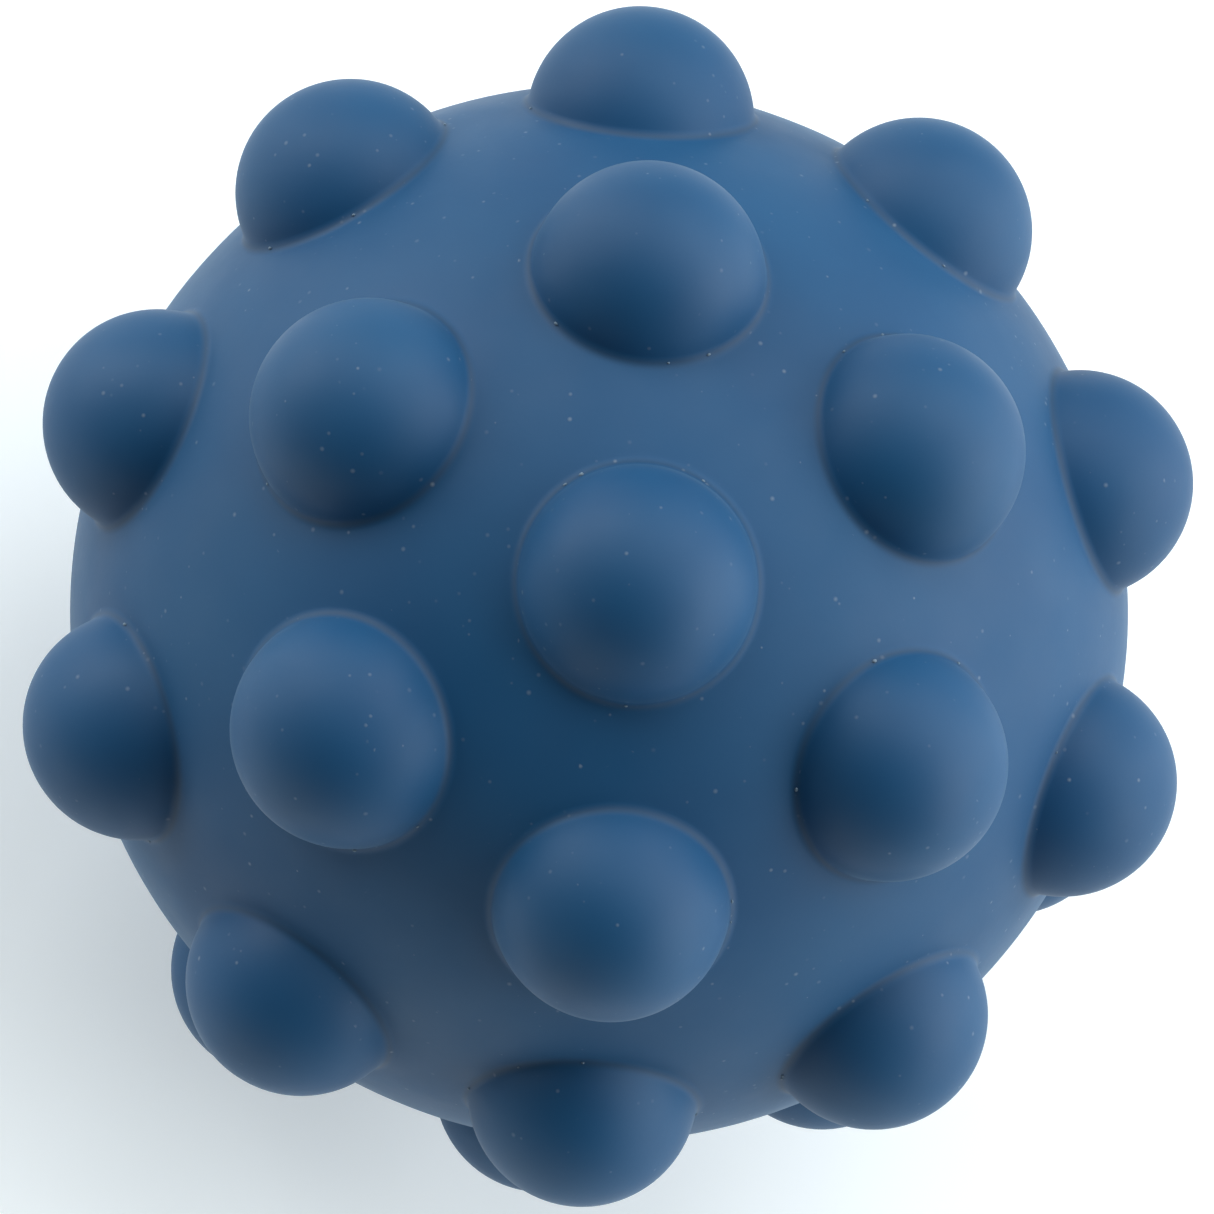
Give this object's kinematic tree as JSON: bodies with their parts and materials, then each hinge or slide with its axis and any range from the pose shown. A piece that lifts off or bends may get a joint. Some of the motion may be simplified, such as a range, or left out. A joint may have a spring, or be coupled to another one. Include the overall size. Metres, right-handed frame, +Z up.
{
  "type": "stress ball",
  "caption": "Hollow silicone stress ball covered in round pop domes that push in, turn inside out and stay in until they are pushed back out.",
  "frame": {"origin": "the centre of the ball, midway between opposite domes", "axes": "+Z up as the ball rests on three domes; the polar axis through the two pole domes leans by 20.2 degrees from +Z towards -Y, the front; +X to the right"},
  "size_m": [0.0606, 0.0647, 0.0618],
  "materials": {
    "shell_silicone": "satin",
    "dome_silicone": "satin",
    "adhesive": "satin"
  },
  "bodies": {
    "ball": {"upper_shell": "shell_silicone", "lower_shell": "shell_silicone", "seam_bead": "adhesive"},
    "upper_pole_dome": {"upper_pole_dome": "dome_silicone"},
    "upper_inner_dome_1": {"upper_inner_dome_1": "dome_silicone"},
    "upper_inner_dome_2": {"upper_inner_dome_2": "dome_silicone"},
    "upper_inner_dome_3": {"upper_inner_dome_3": "dome_silicone"},
    "upper_inner_dome_4": {"upper_inner_dome_4": "dome_silicone"},
    "upper_inner_dome_5": {"upper_inner_dome_5": "dome_silicone"},
    "upper_inner_dome_6": {"upper_inner_dome_6": "dome_silicone"},
    "upper_outer_dome_1": {"upper_outer_dome_1": "dome_silicone"},
    "upper_outer_dome_2": {"upper_outer_dome_2": "dome_silicone"},
    "upper_outer_dome_3": {"upper_outer_dome_3": "dome_silicone"},
    "upper_outer_dome_4": {"upper_outer_dome_4": "dome_silicone"},
    "upper_outer_dome_5": {"upper_outer_dome_5": "dome_silicone"},
    "upper_outer_dome_6": {"upper_outer_dome_6": "dome_silicone"},
    "upper_outer_dome_7": {"upper_outer_dome_7": "dome_silicone"},
    "upper_outer_dome_8": {"upper_outer_dome_8": "dome_silicone"},
    "upper_outer_dome_9": {"upper_outer_dome_9": "dome_silicone"},
    "upper_outer_dome_10": {"upper_outer_dome_10": "dome_silicone"},
    "lower_pole_dome": {"lower_pole_dome": "dome_silicone"},
    "lower_inner_dome_1": {"lower_inner_dome_1": "dome_silicone"},
    "lower_inner_dome_2": {"lower_inner_dome_2": "dome_silicone"},
    "lower_inner_dome_3": {"lower_inner_dome_3": "dome_silicone"},
    "lower_inner_dome_4": {"lower_inner_dome_4": "dome_silicone"},
    "lower_inner_dome_5": {"lower_inner_dome_5": "dome_silicone"},
    "lower_inner_dome_6": {"lower_inner_dome_6": "dome_silicone"},
    "lower_outer_dome_1": {"lower_outer_dome_1": "dome_silicone"},
    "lower_outer_dome_2": {"lower_outer_dome_2": "dome_silicone"},
    "lower_outer_dome_3": {"lower_outer_dome_3": "dome_silicone"},
    "lower_outer_dome_4": {"lower_outer_dome_4": "dome_silicone"},
    "lower_outer_dome_5": {"lower_outer_dome_5": "dome_silicone"},
    "lower_outer_dome_6": {"lower_outer_dome_6": "dome_silicone"},
    "lower_outer_dome_7": {"lower_outer_dome_7": "dome_silicone"},
    "lower_outer_dome_8": {"lower_outer_dome_8": "dome_silicone"},
    "lower_outer_dome_9": {"lower_outer_dome_9": "dome_silicone"},
    "lower_outer_dome_10": {"lower_outer_dome_10": "dome_silicone"}
  },
  "joints": [
    {"name": "upper_pole_pop", "type": "slide", "parent": "ball", "child": "upper_pole_dome", "axis": [0, 0.3458, -0.9383], "range_m": [0, 0.0096], "deforming": ["upper_pole_dome"]},
    {"name": "upper_inner_1_pop", "type": "slide", "parent": "ball", "child": "upper_inner_dome_1", "axis": [0.307, -0.1791, -0.9347], "range_m": [0, 0.0096], "deforming": ["upper_inner_dome_1"]},
    {"name": "upper_inner_2_pop", "type": "slide", "parent": "ball", "child": "upper_inner_dome_2", "axis": [0.5789, 0.3008, -0.7579], "range_m": [0, 0.0096], "deforming": ["upper_inner_dome_2"]},
    {"name": "upper_inner_3_pop", "type": "slide", "parent": "ball", "child": "upper_inner_dome_3", "axis": [0.272, 0.7618, -0.588], "range_m": [0, 0.0096], "deforming": ["upper_inner_dome_3"]},
    {"name": "upper_inner_4_pop", "type": "slide", "parent": "ball", "child": "upper_inner_dome_4", "axis": [-0.307, 0.7428, -0.595], "range_m": [0, 0.0096], "deforming": ["upper_inner_dome_4"]},
    {"name": "upper_inner_5_pop", "type": "slide", "parent": "ball", "child": "upper_inner_dome_5", "axis": [-0.5789, 0.2629, -0.7718], "range_m": [0, 0.0096], "deforming": ["upper_inner_dome_5"]},
    {"name": "upper_inner_6_pop", "type": "slide", "parent": "ball", "child": "upper_inner_dome_6", "axis": [-0.272, -0.1981, -0.9417], "range_m": [0, 0.0096], "deforming": ["upper_inner_dome_6"]},
    {"name": "upper_outer_1_pop", "type": "slide", "parent": "ball", "child": "upper_outer_dome_1", "axis": [0.4964, -0.6242, -0.6033], "range_m": [0, 0.0096], "deforming": ["upper_outer_dome_1"]},
    {"name": "upper_outer_2_pop", "type": "slide", "parent": "ball", "child": "upper_outer_dome_2", "axis": [0.8685, -0.2081, -0.4499], "range_m": [0, 0.0096], "deforming": ["upper_outer_dome_2"]},
    {"name": "upper_outer_3_pop", "type": "slide", "parent": "ball", "child": "upper_outer_dome_3", "axis": [0.9088, 0.3337, -0.2503], "range_m": [0, 0.0096], "deforming": ["upper_outer_dome_3"]},
    {"name": "upper_outer_4_pop", "type": "slide", "parent": "ball", "child": "upper_outer_dome_4", "axis": [0.6021, 0.7944, -0.0805], "range_m": [0, 0.0096], "deforming": ["upper_outer_dome_4"]},
    {"name": "upper_outer_5_pop", "type": "slide", "parent": "ball", "child": "upper_outer_dome_5", "axis": [0.0653, 0.9978, -0.0055], "range_m": [0, 0.0096], "deforming": ["upper_outer_dome_5"]},
    {"name": "upper_outer_6_pop", "type": "slide", "parent": "ball", "child": "upper_outer_dome_6", "axis": [-0.4964, 0.8664, -0.0539], "range_m": [0, 0.0096], "deforming": ["upper_outer_dome_6"]},
    {"name": "upper_outer_7_pop", "type": "slide", "parent": "ball", "child": "upper_outer_dome_7", "axis": [-0.8685, 0.4503, -0.2073], "range_m": [0, 0.0096], "deforming": ["upper_outer_dome_7"]},
    {"name": "upper_outer_8_pop", "type": "slide", "parent": "ball", "child": "upper_outer_dome_8", "axis": [-0.9088, -0.0915, -0.407], "range_m": [0, 0.0096], "deforming": ["upper_outer_dome_8"]},
    {"name": "upper_outer_9_pop", "type": "slide", "parent": "ball", "child": "upper_outer_dome_9", "axis": [-0.6021, -0.5522, -0.5767], "range_m": [0, 0.0096], "deforming": ["upper_outer_dome_9"]},
    {"name": "upper_outer_10_pop", "type": "slide", "parent": "ball", "child": "upper_outer_dome_10", "axis": [-0.0653, -0.7557, -0.6517], "range_m": [0, 0.0096], "deforming": ["upper_outer_dome_10"]},
    {"name": "lower_pole_pop", "type": "slide", "parent": "ball", "child": "lower_pole_dome", "axis": [0, -0.3458, 0.9383], "range_m": [0, 0.0096], "deforming": ["lower_pole_dome"]},
    {"name": "lower_inner_1_pop", "type": "slide", "parent": "ball", "child": "lower_inner_dome_1", "axis": [0.2896, -0.7526, 0.5914], "range_m": [0, 0.0096], "deforming": ["lower_inner_dome_1"]},
    {"name": "lower_inner_2_pop", "type": "slide", "parent": "ball", "child": "lower_inner_dome_2", "axis": [-0.2896, -0.7526, 0.5914], "range_m": [0, 0.0096], "deforming": ["lower_inner_dome_2"]},
    {"name": "lower_inner_3_pop", "type": "slide", "parent": "ball", "child": "lower_inner_dome_3", "axis": [-0.5793, -0.2819, 0.7648], "range_m": [0, 0.0096], "deforming": ["lower_inner_dome_3"]},
    {"name": "lower_inner_4_pop", "type": "slide", "parent": "ball", "child": "lower_inner_dome_4", "axis": [-0.2896, 0.1889, 0.9383], "range_m": [0, 0.0096], "deforming": ["lower_inner_dome_4"]},
    {"name": "lower_inner_5_pop", "type": "slide", "parent": "ball", "child": "lower_inner_dome_5", "axis": [0.2896, 0.1889, 0.9383], "range_m": [0, 0.0096], "deforming": ["lower_inner_dome_5"]},
    {"name": "lower_inner_6_pop", "type": "slide", "parent": "ball", "child": "lower_inner_dome_6", "axis": [0.5793, -0.2819, 0.7648], "range_m": [0, 0.0096], "deforming": ["lower_inner_dome_6"]},
    {"name": "lower_outer_1_pop", "type": "slide", "parent": "ball", "child": "lower_outer_dome_1", "axis": [0.4683, -0.8822, 0.0481], "range_m": [0, 0.0096], "deforming": ["lower_outer_dome_1"]},
    {"name": "lower_outer_2_pop", "type": "slide", "parent": "ball", "child": "lower_outer_dome_2", "axis": [-0.0979, -0.9952, 0.0065], "range_m": [0, 0.0096], "deforming": ["lower_outer_dome_2"]},
    {"name": "lower_outer_3_pop", "type": "slide", "parent": "ball", "child": "lower_outer_dome_3", "axis": [-0.6268, -0.7742, 0.0879], "range_m": [0, 0.0096], "deforming": ["lower_outer_dome_3"]},
    {"name": "lower_outer_4_pop", "type": "slide", "parent": "ball", "child": "lower_outer_dome_4", "axis": [-0.9162, -0.3038, 0.2613], "range_m": [0, 0.0096], "deforming": ["lower_outer_dome_4"]},
    {"name": "lower_outer_5_pop", "type": "slide", "parent": "ball", "child": "lower_outer_dome_5", "axis": [-0.8557, 0.2364, 0.4603], "range_m": [0, 0.0096], "deforming": ["lower_outer_dome_5"]},
    {"name": "lower_outer_6_pop", "type": "slide", "parent": "ball", "child": "lower_outer_dome_6", "axis": [-0.4683, 0.64, 0.6091], "range_m": [0, 0.0096], "deforming": ["lower_outer_dome_6"]},
    {"name": "lower_outer_7_pop", "type": "slide", "parent": "ball", "child": "lower_outer_dome_7", "axis": [0.0979, 0.753, 0.6507], "range_m": [0, 0.0096], "deforming": ["lower_outer_dome_7"]},
    {"name": "lower_outer_8_pop", "type": "slide", "parent": "ball", "child": "lower_outer_dome_8", "axis": [0.6268, 0.5321, 0.5693], "range_m": [0, 0.0096], "deforming": ["lower_outer_dome_8"]},
    {"name": "lower_outer_9_pop", "type": "slide", "parent": "ball", "child": "lower_outer_dome_9", "axis": [0.9162, 0.0616, 0.3959], "range_m": [0, 0.0096], "deforming": ["lower_outer_dome_9"]},
    {"name": "lower_outer_10_pop", "type": "slide", "parent": "ball", "child": "lower_outer_dome_10", "axis": [0.8557, -0.4786, 0.1969], "range_m": [0, 0.0096], "deforming": ["lower_outer_dome_10"]}
  ]
}
